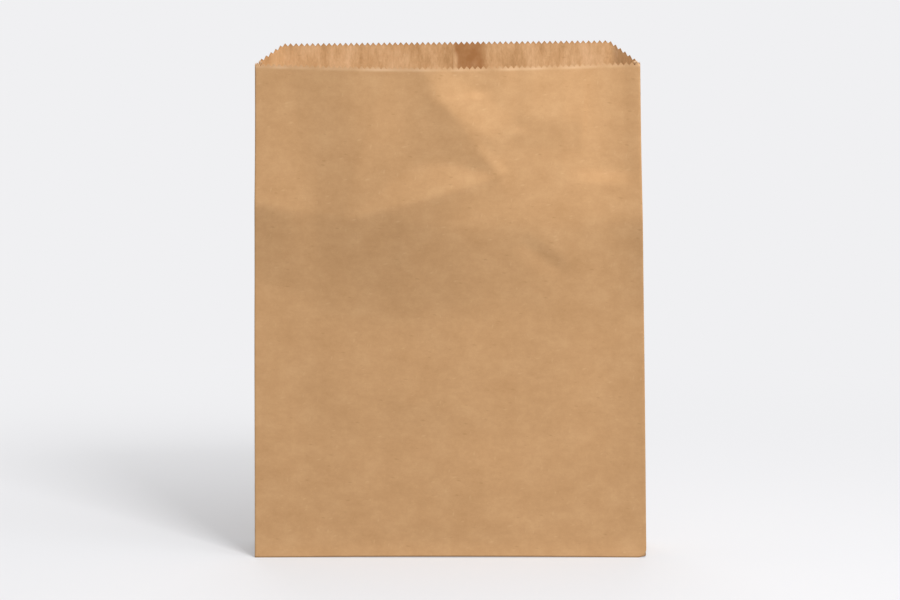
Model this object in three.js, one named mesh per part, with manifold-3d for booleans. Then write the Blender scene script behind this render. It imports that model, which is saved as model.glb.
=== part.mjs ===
// Open paper merchandise bag, standing on its base. It is one sheet of kraft paper: folded into a tube
// with two side gussets, lapped and glued down the back, closed by a folded block bottom, and cut at
// the mouth with a toothed knife. Millimetres, +Z up, the front panel faces -Y.
import * as THREE from "three";
import { mergeVertices } from "three/addons/utils/BufferGeometryUtils.js";
import Module from "manifold-3d";

// Sheet
const PAPER = 0.2; // thickness of heavy kraft paper
const WIDTH = 305; // front and back panels, crease to crease
const GUSSET = 70; // side panels, crease to crease
const FRONT_HEIGHT = 383.5; // base to the front lip

// Lip, cut with teeth all round; the back panel carries a raised tongue
const TOOTH_PITCH = 4.36;
const TOOTH_DEPTH = 2.4;
const LIP_RISE = 11.3; // the tongue above the front lip
const LIP_SLOPE = 22.5; // length of the slanted cut at each end of the tongue
const LIP_DIP = 2; // the front lip hangs this far at its middle
const GUSSET_DIP = 3.5; // the cut comes down this far along a gusset, front to back
const FRONT_SKEW = 0.5; // the cut stands askew: this much higher at the right end of the front lip
const BACK_SKEW = 1.5; // and this much at the right end of the tongue

// Lapped seam of the back panel
const SEAM_EDGE = 4; // from the middle of the panel to the lap's edge inside the bag
const SEAM_LAP = 26; // width of the lap
const SEAM_EASE = 20; // beyond the lap the paper comes back in line over this length

// Block bottom
const FLAP_LAP = 10; // the long flaps pass the middle of the base by this much

// Stance of the opened bag
const LEAN = 8; // the mouth stands this far behind the base
const FRONT_SWELL = 20; // the front panel swells this far between its creases
const SWELL_START = 90; // the swell starts at this height
const SWELL_END = 340; // and is full from here up
const CROWN = 0.12; // the front is a low tent; its ridge, as a share of half the panel, lies to the right
const CROWN_ROUND = 0.2; // rounding of that ridge, as a share of half the panel
const RIGHT_HOLLOW = 1.5; // 1 for a flat right side of the tent, more for a hollow one
const LEFT_PULL = 0.7; // at the mouth the left front crease stands this far in
const RIGHT_PULL = 5.6; // and the right one this far
const BACK_SHIFT = 2; // the back panel leans this far to the left at the mouth
const BACK_BEND = 22.5; // soft bend of the back panel, from its crease
const BACK_SAG = 12.5; // at the mouth the back panel lies this far behind its creases
const TUCK_FOOT = 5; // the middle fold of a gusset goes in this far above the base triangle
const TUCK_MIDDLE = 10; // at half height
const TUCK_MOUTH = 4; // at the mouth

// Level crease of the front panel, left by packing
const BELLY = 4.8; // the paper stands this far out there
const BELLY_LEFT = 1.3; // this many times as far at the left crease
const BELLY_RIGHT = 1; // and at the right one
const BELLY_FLANK = 80; // below the crease the paper comes back in over this length
const BELLY_CURVE = 1.4; // 1 for straight flanks, more for flanks that are steepest at the crease
const EDGE_BELLY = 1.5; // the front creases go out this many times as far as the paper between them
const ROUND_LEFT = 2; // rounding of the level crease at its left end
const ROUND_RIGHT = 9; // and at its right end
const FLARE = 3; // towards its right crease the front turns out by this much
const FLARE_START = 0.78; // from this share of half the panel
const FLARE_HEIGHT = 120; // and in full above this height
// Its line over the panel: from the middle to the right, and up from the base
const LEVEL_LINE = [
  [-152, 266],
  [-116, 260],
  [-84, 266],
  [-49, 272],
  [-41, 265],
  [2, 259],
  [88, 259],
  [152, 263],
];

// Creases of the front panel from handling: start and end from the middle of the base, how far the line
// stands out, the widths of the flanks to the left and right of someone walking from start to end, and
// the shares of its length over which the line grows and fades
const HANDLING = [
  { start: [-26, 368], end: [46, 318], out: 3.6, left: 24, right: 150, grow: 0.25, fade: 0.3 },
  { start: [25, 312], end: [25, 245], out: -1.8, left: 16, right: 34, grow: 0.22, fade: 0.5 },
  { start: [-52, 150], end: [-78, 405], out: 3, left: 40, right: 90, grow: 0.6, fade: 0.1 },
  { start: [126, 430], end: [122, 290], out: -2.6, left: 30, right: 30, grow: 0.25, fade: 0.1 },
];
// A dent with flat banks: the edge where each bank starts, walked with the dent to the left, and how
// steeply the bank goes in
const DENT = [
  { start: [-104, 258], end: [42, 300], steep: 0.15 },
  { start: [50, 296], end: [38, 328], steep: 0.08 },
  { start: [52, 346], end: [10, 384], steep: 0.055 },
  { start: [0, 386], end: [-80, 386], steep: 0.06 },
  { start: [-66, 372], end: [-104, 256], steep: 0.055 },
];
const FOLD_REACH = 14; // creases from handling die out this close to the folds of the panel

// Fineness of the facets
const FRONT_COLUMN = 8.5; // widest facet across the front
const BACK_COLUMN = 20; // widest facet across the back
const PLAIN_HEIGHT = 190; // the creases lie above that height
const PLAIN_ROW = 21; // tallest facet below it
const CREASED_ROW = 8.5; // tallest facet above it
const GUSSET_COLUMNS = 3; // facets across half a gusset
const RIM = 12; // the last row under the lip starts this far below it

const KRAFT = new THREE.MeshStandardMaterial({ color: 0xc39a6c, roughness: 0.85, metalness: 0 });

// Places along the sheet, counted round the tube from the left front crease
const HALF_GUSSET = GUSSET / 2;
const RIGHT_FRONT = WIDTH;
const RIGHT_BACK = RIGHT_FRONT + GUSSET;
const LEFT_BACK = RIGHT_BACK + WIDTH;
const AROUND = LEFT_BACK + GUSSET;
const BACK_MIDDLE = RIGHT_BACK + WIDTH / 2;
const LAP_OUTSIDE = BACK_MIDDLE - SEAM_EDGE - SEAM_LAP; // edge of the outer layer
const LAP_INSIDE = BACK_MIDDLE - SEAM_EDGE; // edge of the inner layer

// The value at a place on a line through pairs of place and value, level beyond its ends.
function along(pairs, place) {
  const after = pairs.findIndex(([at]) => at > place);
  if (after === 0) return pairs[0][1];
  if (after < 0) return pairs[pairs.length - 1][1];
  const [start, low] = pairs[after - 1];
  const [end, high] = pairs[after];
  return low + ((high - low) * (place - start)) / (end - start);
}

// How far the two faces of the wall lie inside the tube's outline: one layer, or two at the lap.
const OUTER_FACE = [
  [LAP_OUTSIDE - SEAM_EASE, 0],
  [LAP_OUTSIDE, PAPER],
  [LAP_OUTSIDE + PAPER, 0],
];
const INNER_FACE = [
  [LAP_OUTSIDE - SEAM_EASE, PAPER],
  [LAP_OUTSIDE, 2 * PAPER],
  [LAP_INSIDE - PAPER, 2 * PAPER],
  [LAP_INSIDE, PAPER],
];

// The gusset's middle fold goes in by a depth that passes smoothly through foot, middle and mouth.
function tuckAt(height) {
  const share = height / FRONT_HEIGHT;
  const foot = TUCK_FOOT * (1 - share) * (1 - 2 * share);
  const middle = TUCK_MIDDLE * 4 * share * (1 - share);
  const mouth = TUCK_MOUTH * share * (2 * share - 1);
  return foot + middle + mouth;
}

// Shape of the opened tube at a height: where its creases stand and how its panels bend.
function stanceAt(height) {
  const share = height / FRONT_HEIGHT;
  const turn = Math.asin(tuckAt(height) / HALF_GUSSET);
  const folded = Math.min(height, HALF_GUSSET); // below that height a flat triangle is left between the folds
  const halfDepth = HALF_GUSSET - folded * (1 - Math.cos(turn));
  const swell = FRONT_SWELL * THREE.MathUtils.smoothstep(height, SWELL_START, SWELL_END);
  const sag = BACK_SAG * share;
  const bend = Math.sqrt(BACK_BEND ** 2 - sag ** 2);
  return {
    height,
    turn,
    folded,
    swell,
    sag,
    bend,
    frontY: LEAN * share - halfDepth,
    backY: LEAN * share + halfDepth,
    frontHalf: WIDTH / 2 - swell ** 2 / WIDTH, // a bowed panel is narrower than its paper
    leftPull: LEFT_PULL * share,
    rightPull: RIGHT_PULL * share,
    backHalf: WIDTH / 2 - BACK_BEND + bend,
    backShift: BACK_SHIFT * share,
  };
}

// From -1 at the left creases to 1 at the right ones, on any panel.
function leftRight(place) {
  if (place < RIGHT_FRONT) return (2 * place) / WIDTH - 1;
  if (place <= RIGHT_BACK) return 1;
  if (place < LEFT_BACK) return 1 - (2 * (place - RIGHT_BACK)) / WIDTH;
  return -1;
}

// How far the front stands out at the level crease and on its flanks, and where its right edge turns out.
function bellyAt(across, height) {
  const rightShare = (1 + across) / 2;
  const line = along(LEVEL_LINE, (across * WIDTH) / 2);
  const rounding = THREE.MathUtils.lerp(ROUND_LEFT, ROUND_RIGHT, rightShare);
  const away = Math.hypot(height - line, rounding) - rounding;
  const flank = height < line ? BELLY_FLANK : FRONT_HEIGHT - line;
  const fullness = Math.max(1 - away / flank, 0) ** BELLY_CURVE;
  const edge = 1 - (1 - EDGE_BELLY) * across ** 4;
  const turned = Math.max((across - FLARE_START) / (1 - FLARE_START), 0) ** 2;
  const flare = FLARE * turned * THREE.MathUtils.smoothstep(height, 0, FLARE_HEIGHT);
  return BELLY * THREE.MathUtils.lerp(BELLY_LEFT, BELLY_RIGHT, rightShare) * fullness * edge + flare;
}

// A point of the front panel seen from a line: the share of the line that is gone, and how far to its left.
function fromLine({ start, end }, x, height) {
  const run = new THREE.Vector2(...end).sub(new THREE.Vector2(...start));
  const here = new THREE.Vector2(x, height).sub(new THREE.Vector2(...start));
  return { gone: here.dot(run) / run.lengthSq(), off: run.cross(here) / run.length() };
}

// How far one crease from handling stands out at a point of the front panel.
function creaseAt(crease, x, height) {
  const { gone, off } = fromLine(crease, x, height);
  const flank = Math.max(1 - Math.abs(off) / (off > 0 ? crease.left : crease.right), 0);
  const { smoothstep } = THREE.MathUtils;
  return crease.out * flank * smoothstep(gone, 0, crease.grow) * smoothstep(1 - gone, 0, crease.fade);
}

// How far the dent goes in at a point of the front panel: the shallowest of its banks.
function dentAt(x, height) {
  const depths = DENT.map((bank) => bank.steep * fromLine(bank, x, height).off);
  return Math.max(Math.min(...depths), 0);
}

// The front: two sides of a low tent, with the level crease, the dent and the creases from handling.
function frontPoint(place, stance) {
  const across = leftRight(place);
  const fromRidge = Math.abs(across - CROWN) / (1 - CROWN * Math.sign(across - CROWN));
  const down = Math.hypot(fromRidge, CROWN_ROUND) - CROWN_ROUND;
  const tent = Math.max(1 - down / (Math.hypot(1, CROWN_ROUND) - CROWN_ROUND), 0);
  const bow = stance.swell * (across > CROWN ? tent ** RIGHT_HOLLOW : tent);
  const x = (across * WIDTH) / 2;
  const free = THREE.MathUtils.smoothstep(WIDTH / 2 - Math.abs(x), 0, FOLD_REACH);
  const creased = HANDLING.reduce((sum, crease) => sum + creaseAt(crease, x, stance.height), 0);
  const out = bow + bellyAt(across, stance.height) + free * (creased - dentAt(x, stance.height));
  const pull = (stance.leftPull * (1 - across) - stance.rightPull * (1 + across)) / 2;
  return [across * stance.frontHalf + pull, stance.frontY - out];
}

function backPoint(place, stance) {
  const fromRight = place - RIGHT_BACK;
  const side = fromRight < WIDTH / 2 ? 1 : -1;
  const fromCrease = Math.min(fromRight, WIDTH - fromRight);
  const bent = Math.min(fromCrease / BACK_BEND, 1);
  const inward = bent * stance.bend + Math.max(fromCrease - BACK_BEND, 0);
  return [side * (stance.backHalf - inward) - stance.backShift, stance.backY + stance.sag * bent];
}

// A gusset point, counted from the front crease of its side.
function gussetPoint(fromFront, side, stance) {
  const fromCrease = Math.min(fromFront, GUSSET - fromFront);
  const turned = Math.min(fromCrease, stance.folded);
  const depth = turned * Math.cos(stance.turn) + fromCrease - turned;
  const frontEdge = stance.frontHalf - (side > 0 ? stance.rightPull : stance.leftPull);
  const backEdge = stance.backHalf - side * stance.backShift;
  const edge = THREE.MathUtils.lerp(frontEdge, backEdge, fromFront / GUSSET);
  const follow = bellyAt(side, stance.height) * Math.max(1 - fromFront / HALF_GUSSET, 0);
  const y = fromFront < HALF_GUSSET ? stance.frontY + depth - follow : stance.backY - depth;
  return [side * (edge - turned * Math.sin(stance.turn)), y];
}

// The outline of the opened tube: a place along the sheet and a height give a point.
function outline(place, height) {
  const round = (place + AROUND) % AROUND;
  const stance = stanceAt(height);
  if (round < RIGHT_FRONT) return frontPoint(round, stance);
  if (round < RIGHT_BACK) return gussetPoint(round - RIGHT_FRONT, 1, stance);
  if (round < LEFT_BACK) return backPoint(round, stance);
  return gussetPoint(AROUND - round, -1, stance);
}

// A point of the wall's face that lies inside the outline by a depth, mitred at the creases.
function facePoint(place, height, depth) {
  const STEP = 0.01; // to either side, for the direction of the outline there
  const here = new THREE.Vector2(...outline(place, height));
  const before = new THREE.Vector2(...outline(place - STEP, height));
  const after = new THREE.Vector2(...outline(place + STEP, height));
  const into = here.clone().sub(before).normalize();
  const out = after.sub(here).normalize();
  const mitre = into.clone().add(out).divideScalar(1 + into.dot(out));
  return new THREE.Vector3(here.x - mitre.y * depth, here.y + mitre.x * depth, height);
}

// Height of the knife's cut before its teeth.
function lipLine(place) {
  const across = leftRight(place);
  const beyond = Math.max(Math.min(place - RIGHT_FRONT, AROUND - place), 0); // past the nearest front crease
  const dip = place < RIGHT_FRONT ? LIP_DIP * (1 - across ** 2) : 0;
  const rise = along([[0, 0], [GUSSET, -GUSSET_DIP], [GUSSET + LIP_SLOPE, LIP_RISE]], beyond);
  const skew = along([[0, FRONT_SKEW], [GUSSET, 0], [GUSSET + LIP_SLOPE, BACK_SKEW]], beyond);
  return FRONT_HEIGHT - dip + rise + skew * across;
}

// Creases, bends and seam edges: every row of facets has a corner on each of them.
const CREASES = [
  0,
  RIGHT_FRONT,
  RIGHT_FRONT + HALF_GUSSET,
  RIGHT_BACK,
  RIGHT_BACK + BACK_BEND,
  LAP_OUTSIDE - SEAM_EASE,
  LAP_OUTSIDE,
  LAP_OUTSIDE + PAPER,
  LAP_INSIDE - PAPER,
  LAP_INSIDE,
  LEFT_BACK - BACK_BEND,
  LEFT_BACK,
  LEFT_BACK + HALF_GUSSET,
  AROUND,
];

const inGusset = (place) => (place >= RIGHT_FRONT && place < RIGHT_BACK) || place >= LEFT_BACK;

// Places of the wall's columns: the creases, with the panels between them divided evenly.
function wallPlaces() {
  return CREASES.slice(1).flatMap((end, i) => {
    const start = CREASES[i];
    const widest = start < RIGHT_FRONT ? FRONT_COLUMN : BACK_COLUMN;
    const columns = inGusset(start) ? GUSSET_COLUMNS : Math.ceil((end - start) / widest);
    return Array.from({ length: columns }, (_, k) => start + ((end - start) * k) / columns);
  });
}

// The toothed edge: places with their heights, a whole number of teeth to each panel.
function lipPoints() {
  const NEAR = 0.05; // a tooth corner this close to a crease gives way to it
  const panels = [0, RIGHT_FRONT, RIGHT_BACK, LEFT_BACK, AROUND];
  return panels.slice(1).flatMap((end, i) => {
    const start = panels[i];
    const corners = 2 * Math.round((end - start) / TOOTH_PITCH);
    const spacing = (end - start) / corners;
    const creases = CREASES.filter((place) => place >= start && place < end);
    const teeth = Array.from({ length: corners }, (_, k) => start + k * spacing);
    const clear = teeth.filter((place) => creases.every((crease) => Math.abs(crease - place) > NEAR));
    return [...clear, ...creases]
      .sort((a, b) => a - b)
      .map((place) => {
        const phase = ((place - start) / spacing) % 2;
        const tooth = TOOTH_DEPTH * (Math.abs(phase - 1) - 0.5);
        return { place, height: lipLine(place) - tooth };
      });
  });
}

// Heights of the wall's rows: at the gusset's base triangle, on the plain part and on the creased one.
function wallHeights() {
  const SLACK = 1e-9; // keeps a whole number of rows from becoming one more
  const top = FRONT_HEIGHT - LIP_DIP - RIM;
  const parts = [
    [0, HALF_GUSSET, HALF_GUSSET / GUSSET_COLUMNS],
    [HALF_GUSSET, PLAIN_HEIGHT, PLAIN_ROW],
    [PLAIN_HEIGHT, top, CREASED_ROW],
  ];
  const heights = parts.flatMap(([start, end, tallest]) => {
    const rows = Math.ceil((end - start) / tallest - SLACK);
    return Array.from({ length: rows }, (_, k) => start + ((end - start) * k) / rows);
  });
  return [...heights, top];
}

// One face of the wall: its rings of points from the base up to the toothed edge.
function wallRings(face) {
  const places = wallPlaces();
  const rings = wallHeights().map((height) =>
    places.map((place) => ({ place, point: facePoint(place, height, along(face, place)) })),
  );
  const lip = lipPoints().map(({ place, height }) => ({
    place,
    point: facePoint(place, height, along(face, place)),
  }));
  return [...rings, lip];
}

// Triangles between two rings, each listed by place. Where both have the next corner at one place,
// the quad is split to follow the gusset's slanted folds.
function stitch(lower, upper, add) {
  let i = 0;
  let k = 0;
  while (i < lower.length || k < upper.length) {
    const low = lower[i % lower.length];
    const high = upper[k % upper.length];
    const nextLow = i < lower.length ? (lower[i + 1]?.place ?? AROUND) : Infinity;
    const nextHigh = k < upper.length ? (upper[k + 1]?.place ?? AROUND) : Infinity;
    const level = Math.abs(nextLow - nextHigh) < 1e-6;
    if (nextHigh < nextLow || (level && foldsUp(low.place))) {
      add(low.point, upper[(k + 1) % upper.length].point, high.point);
      k++;
    } else {
      add(low.point, lower[(i + 1) % lower.length].point, high.point);
      i++;
    }
  }
}

// True where a slanted fold rises in the direction that places are counted.
function foldsUp(place) {
  const half = place >= LEFT_BACK ? place - LEFT_BACK : place - RIGHT_FRONT;
  return inGusset(place) && half < HALF_GUSSET;
}

// The wall: an outer and an inner face, joined along the toothed edge and round the base.
function wallGeometry() {
  const outer = wallRings(OUTER_FACE);
  const inner = wallRings(INNER_FACE);
  const corners = [];
  const add = (...points) => points.forEach((point) => corners.push(point.x, point.y, point.z));
  const addTurned = (a, b, c) => add(a, c, b);
  for (let row = 1; row < outer.length; row++) {
    stitch(outer[row - 1], outer[row], add);
    stitch(inner[row - 1], inner[row], addTurned);
  }
  stitch(outer[outer.length - 1], inner[inner.length - 1], add);
  stitch(outer[0], inner[0], addTurned);
  return new THREE.BufferGeometry().setAttribute("position", new THREE.Float32BufferAttribute(corners, 3));
}

// One layer of the folded bottom: a flat outline, from one level of paper up to another.
function layer(points, from, to) {
  const shape = new THREE.Shape(points.map(([x, y]) => new THREE.Vector2(x, y)));
  const plate = new THREE.ExtrudeGeometry(shape, { depth: (to - from) * PAPER, bevelEnabled: false });
  return plate.translate(0, 0, from * PAPER);
}

// The folded bottom: a long flap from the front over one from the back, both folded at 45 degrees at
// their ends, over a flap from each gusset. Their outer edges end inside the wall.
function bottomLayers() {
  const halfWidth = WIDTH / 2 - PAPER / 2;
  const halfDepth = HALF_GUSSET - PAPER / 2;
  const reach = halfDepth + FLAP_LAP;
  const freeHalf = halfWidth - reach;
  const teeth = Math.round((2 * freeHalf) / TOOTH_PITCH);
  const cut = Array.from({ length: 2 * teeth + 1 }, (_, k) => [
    freeHalf - (freeHalf * k) / teeth,
    FLAP_LAP - (k % 2 ? TOOTH_DEPTH : 0),
  ]);
  const frontFlap = [[-halfWidth, -halfDepth], [halfWidth, -halfDepth], ...cut];
  const backFlap = [
    [halfWidth, halfDepth],
    [-halfWidth, halfDepth],
    [-freeHalf, -FLAP_LAP],
    [freeHalf, -FLAP_LAP],
  ];
  const layers = [layer(frontFlap, 0, 1), layer(backFlap, 1, 2)];
  for (const side of [-1, 1]) {
    const outside = side * halfWidth;
    const inside = side * freeHalf;
    const endFlap = [[outside, -halfDepth], [inside, -halfDepth], [inside, halfDepth], [outside, halfDepth]];
    const point = side * (halfWidth - halfDepth);
    const corner = [[outside, -halfDepth], [inside, -halfDepth], [inside, 0], [point, 0]];
    layers.push(layer(endFlap, 2, 3), layer(corner, 1, 2));
  }
  return layers;
}

// A closed geometry as a solid that can be joined.
function solidOf(wasm, geometry) {
  const bare = geometry.index ? geometry.toNonIndexed() : geometry;
  bare.deleteAttribute("normal");
  bare.deleteAttribute("uv");
  const merged = mergeVertices(bare, 1e-4);
  return new wasm.Manifold(
    new wasm.Mesh({
      numProp: 3,
      vertProperties: merged.getAttribute("position").array,
      triVerts: new Uint32Array(merged.index.array),
    }),
  );
}

function geometryOf(solid) {
  const { vertProperties, triVerts } = solid.getMesh();
  const geometry = new THREE.BufferGeometry();
  geometry.setAttribute("position", new THREE.BufferAttribute(vertProperties, 3));
  geometry.setIndex(new THREE.BufferAttribute(triVerts, 1));
  return geometry;
}

const wasm = await Module();
wasm.setup();

const folded = bottomLayers().reduce(
  (bag, plate) => bag.add(solidOf(wasm, plate)),
  solidOf(wasm, wallGeometry()),
);
const geometry = geometryOf(folded);
geometry.computeVertexNormals();
geometry.computeBoundingBox();

const paperBag = new THREE.Mesh(geometry, KRAFT);
paperBag.name = "paper_bag";
const middle = geometry.boundingBox.getCenter(new THREE.Vector3());
paperBag.position.set(-middle.x, -middle.y, 0);

const bag = new THREE.Group();
bag.add(paperBag);

export default bag;
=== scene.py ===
# %% [markdown]
# # A paper merchandise bag, folded from one sheet
# The real bag starts as a flat rectangle of brown kraft paper. A machine folds it into a tube with two
# side gussets, glues it down the back, folds the bottom shut and cuts the mouth with a toothed knife.
# We follow the same order in Blender: a flat grid, its toothed cut, the folds, the opened mouth, the
# creases from handling, the folded bottom and at the end the thickness of the paper. That way each fold
# lies where the maker's fold lies.

# %% Load the frame
import math

import bmesh
import bpy
import numpy as np
from mathutils import Matrix, Vector, noise


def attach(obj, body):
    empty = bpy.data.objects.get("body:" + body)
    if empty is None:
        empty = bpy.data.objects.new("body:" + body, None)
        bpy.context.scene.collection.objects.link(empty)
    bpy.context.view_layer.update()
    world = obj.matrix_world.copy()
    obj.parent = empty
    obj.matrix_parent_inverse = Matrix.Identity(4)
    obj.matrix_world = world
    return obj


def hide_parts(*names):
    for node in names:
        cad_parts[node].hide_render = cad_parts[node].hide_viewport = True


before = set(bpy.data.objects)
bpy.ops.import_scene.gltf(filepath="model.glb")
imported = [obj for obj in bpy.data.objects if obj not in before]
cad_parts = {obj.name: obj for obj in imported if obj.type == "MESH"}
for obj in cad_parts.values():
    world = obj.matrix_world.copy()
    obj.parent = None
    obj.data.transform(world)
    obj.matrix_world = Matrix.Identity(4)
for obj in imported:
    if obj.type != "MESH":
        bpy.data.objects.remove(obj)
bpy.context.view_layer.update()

# %% [markdown]
# ## The camera
# The photograph was taken with a long lens, a little above the bag and looking slightly down: the sides
# of the bag stay nearly upright and only a narrow strip of its inside shows. A long lens from three metres
# gives that, and the pitch sets how much of the inside is seen. The lens is worked out in pixels of the
# 900 pixel wide picture and then turned into millimetres for Blender's 36 mm sensor.

# %% Camera
IMAGE_WIDTH = 900
SENSOR_MM = 36.0
FOCAL_PIXELS = 3866.0
CAMERA_PLACE = (-0.0005, -3.0, 0.5656)
CAMERA_PITCH = math.radians(7.0)

camera_data = bpy.data.cameras.new("camera")
camera_data.sensor_width = SENSOR_MM
camera_data.lens = FOCAL_PIXELS * SENSOR_MM / IMAGE_WIDTH
camera = bpy.data.objects.new("camera", camera_data)
camera.location = CAMERA_PLACE
camera.rotation_euler = (math.pi / 2 - CAMERA_PITCH, 0.0, 0.0)
bpy.context.scene.collection.objects.link(camera)
bpy.context.scene.camera = camera
print("lens in mm:", round(camera_data.lens, 1))

# %% [markdown]
# ## Sizes of the sheet
# All sizes are in millimetres, as a bag maker would write them, and are turned into metres only when the
# mesh is stored. A place on the sheet has two numbers: how far it lies along the sheet, counted from the
# middle of the front panel, and its height above the base. The depth of the base comes from the solid bag.

# %% Sheet sizes
MM_PER_METRE = 1000
PAPER = 0.2
PANEL = 305.0
GUSSET = 70.0
FRONT_HEIGHT = 383.5
SEAM_EDGE = 4.0
SEAM_LAP = 26.0
HALF_PANEL = PANEL / 2
HALF_GUSSET = GUSSET / 2
BACK_CREASE = HALF_PANEL + GUSSET
RIGHT_END = BACK_CREASE + HALF_PANEL - SEAM_EDGE
LEFT_END = -(BACK_CREASE + HALF_PANEL + SEAM_EDGE + SEAM_LAP)
NEAR = 0.01  # places closer than this count as one

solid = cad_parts["paper_bag"].data.vertices
base_depths = [vertex.co.y * MM_PER_METRE for vertex in solid if vertex.co.z * MM_PER_METRE < NEAR]
BASE_MIDDLE = (min(base_depths) + max(base_depths)) / 2
print("blank width:", RIGHT_END - LEFT_END, "middle of the base:", round(BASE_MIDDLE, 2))

# %% [markdown]
# ## The blank
# The blank is a plain grid. Its columns are half a tooth wide, so that every second point of the top edge
# can become the tip of a tooth, and each of its five strips, from back panel to back panel, gets a whole
# number of teeth. `create_grid` makes a square from -1/2 to 1/2. We read the column and the row of each
# point from it, and `interp` turns the columns into places along the sheet.

# %% Blank
TOOTH_PITCH = 4.36
LOW_ROWS, HIGH_ROWS = 42, 78
MARKS = [LEFT_END, -BACK_CREASE, -HALF_PANEL, HALF_PANEL, BACK_CREASE, RIGHT_END]
LEFT_BACK, FRONT, RIGHT_BACK = 0, 2, 4  # strips between the marks

teeth = [round((end - start) / TOOTH_PITCH) for start, end in zip(MARKS, MARKS[1:])]
column_marks = np.cumsum([0] + [2 * count for count in teeth])
COLUMNS = int(column_marks[-1])
ROWS = LOW_ROWS + HIGH_ROWS

sheet = bmesh.new()
bmesh.ops.create_grid(sheet, x_segments=COLUMNS, y_segments=ROWS, size=0.5)
grid = np.array([vertex.co for vertex in sheet.verts])
column = np.rint((grid[:, 0] + 0.5) * COLUMNS)
row = np.rint((grid[:, 1] + 0.5) * ROWS)
along = np.interp(column, column_marks, MARKS)
print("columns:", COLUMNS, "rows:", ROWS, "teeth on the front:", teeth[FRONT])

# %% [markdown]
# ## The line of the lip
# The knife cuts the front lip nearly level, dips along the gussets and leaves a raised tongue on the back
# panel. At both ends of the tongue the cut is slanted, a little longer on the right. The knife doesn't
# stand quite square: the cut is lower on the left, more so at the back. All this could be cut off with a
# boolean. It is simpler to say how high each column is, and to stretch the columns to that height later.

# %% Lip
LIP_RISE = 11.3
LIP_SLANTS = (22.5, 25.5)  # left and right
LIP_DIP = 2.0
GUSSET_DIP = 2.6
FRONT_SKEW, BACK_SKEW = 0.5, 1.5

off_centre = np.abs(along)
across = np.clip(along / HALF_PANEL, -1, 1)
over_gusset = np.clip((off_centre - HALF_PANEL) / GUSSET, 0, 1)
tongue = np.clip((off_centre - BACK_CREASE) / np.where(along < 0, *LIP_SLANTS), 0, 1)
in_panel = np.minimum(np.minimum(off_centre, HALF_PANEL), HALF_PANEL + BACK_CREASE - off_centre)
skew = (FRONT_SKEW * (1 - over_gusset) + BACK_SKEW * tongue) * (np.sign(along) * in_panel) / HALF_PANEL
lip = FRONT_HEIGHT - GUSSET_DIP * over_gusset + (LIP_RISE + GUSSET_DIP) * tongue
lip = lip - LIP_DIP * (1 - across**2) + skew
print("lip from", lip.min().round(1), "to", lip.max().round(1), "mm")

# %% [markdown]
# ## Rows and teeth
# The rows are closer together in the upper part, where the creases will be. One row lies just above the
# base, for the bend of the base fold, and two lie just below the lip, for a painted highlight there.
# The points of the top row go down and up by turns, which is all that a tooth is.

# %% Rows and teeth
PLAIN_HEIGHT = 195.0
FOLD_HEIGHT = 0.9
HIGHLIGHT_TOP, HIGHLIGHT_FOOT = 1.7, 3.3
TOOTH_DEPTH = 2.4

row_marks = [0, 1, LOW_ROWS, ROWS - 2, ROWS - 1, ROWS]
row_heights = [0, FOLD_HEIGHT, PLAIN_HEIGHT] + [FRONT_HEIGHT - drop for drop in (HIGHLIGHT_FOOT, HIGHLIGHT_TOP, 0)]
row_share = np.interp(row, row_marks, row_heights) / FRONT_HEIGHT
tooth = np.where(column % 2 == 1, 0.5, -0.5) * TOOTH_DEPTH
height = row_share * lip + np.where(row == ROWS, tooth, 0.0)
is_tip = (row == ROWS) & (tooth > 0)
print("tips of teeth:", int(is_tip.sum()), "highest:", height.max().round(1), "mm")

# %% [markdown]
# ## Folding the tube
# The sheet is stood up with the front panel facing us. A crease is then folded by turning everything
# beyond it by a right angle about an upright line through the crease: first the creases of the front
# panel, then the back ones. `bmesh.ops.rotate` does the turning. At the back the two ends of the sheet
# then lap over each other.

# %% Fold
for vertex, place, level in zip(sheet.verts, along, height):
    vertex.co = (place, 0.0, level)
for way in (1, -1):
    quarter_turn = Matrix.Rotation(way * math.pi / 2, 3, "Z")
    for fold_line, depth in ((HALF_PANEL, 0.0), (BACK_CREASE, GUSSET)):
        beyond = [v for v, place in zip(sheet.verts, along) if way * place > fold_line + NEAR]
        bmesh.ops.rotate(sheet, verts=beyond, cent=(way * HALF_PANEL, depth, 0), matrix=quarter_turn)
tube = np.array([vertex.co for vertex in sheet.verts])
is_front = off_centre <= HALF_PANEL
is_back = off_centre > BACK_CREASE
is_gusset = ~is_front & ~is_back
side = np.sign(tube[:, 0])
print("folded tube:", tube.min(0).round(1), tube.max(0).round(1))

# %% [markdown]
# ## How the bag stands open
# A tube with square corners looks like a box. A real bag opens: the front panel swells, the gussets keep
# their middle fold and go in a little, the back panel bends back a finger's width from its creases, and
# the mouth stands a little behind the base. Paper doesn't stretch, so a panel that bows out gets narrower
# between its creases. Each value here depends on the height alone. A cloth simulation could open the bag
# too, but it would lose the places of the folds.

# %% Stance
def smooth(value):
    """0 below 0, 1 above 1, and an S curve between them."""
    part = np.clip(value, 0, 1)
    return part * part * (3 - 2 * part)


LEAN = 8.0
FRONT_SWELL = 20.0
SWELL_START, SWELL_END = 90.0, 340.0
LEFT_PULL, RIGHT_PULL = 0.7, 5.6
BACK_SHIFT = 2.0
BACK_BEND = 22.5
BACK_SAG = 12.5
TUCK_FOOT, TUCK_MIDDLE, TUCK_MOUTH = 5.0, 10.0, 4.0

share = height / FRONT_HEIGHT
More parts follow.
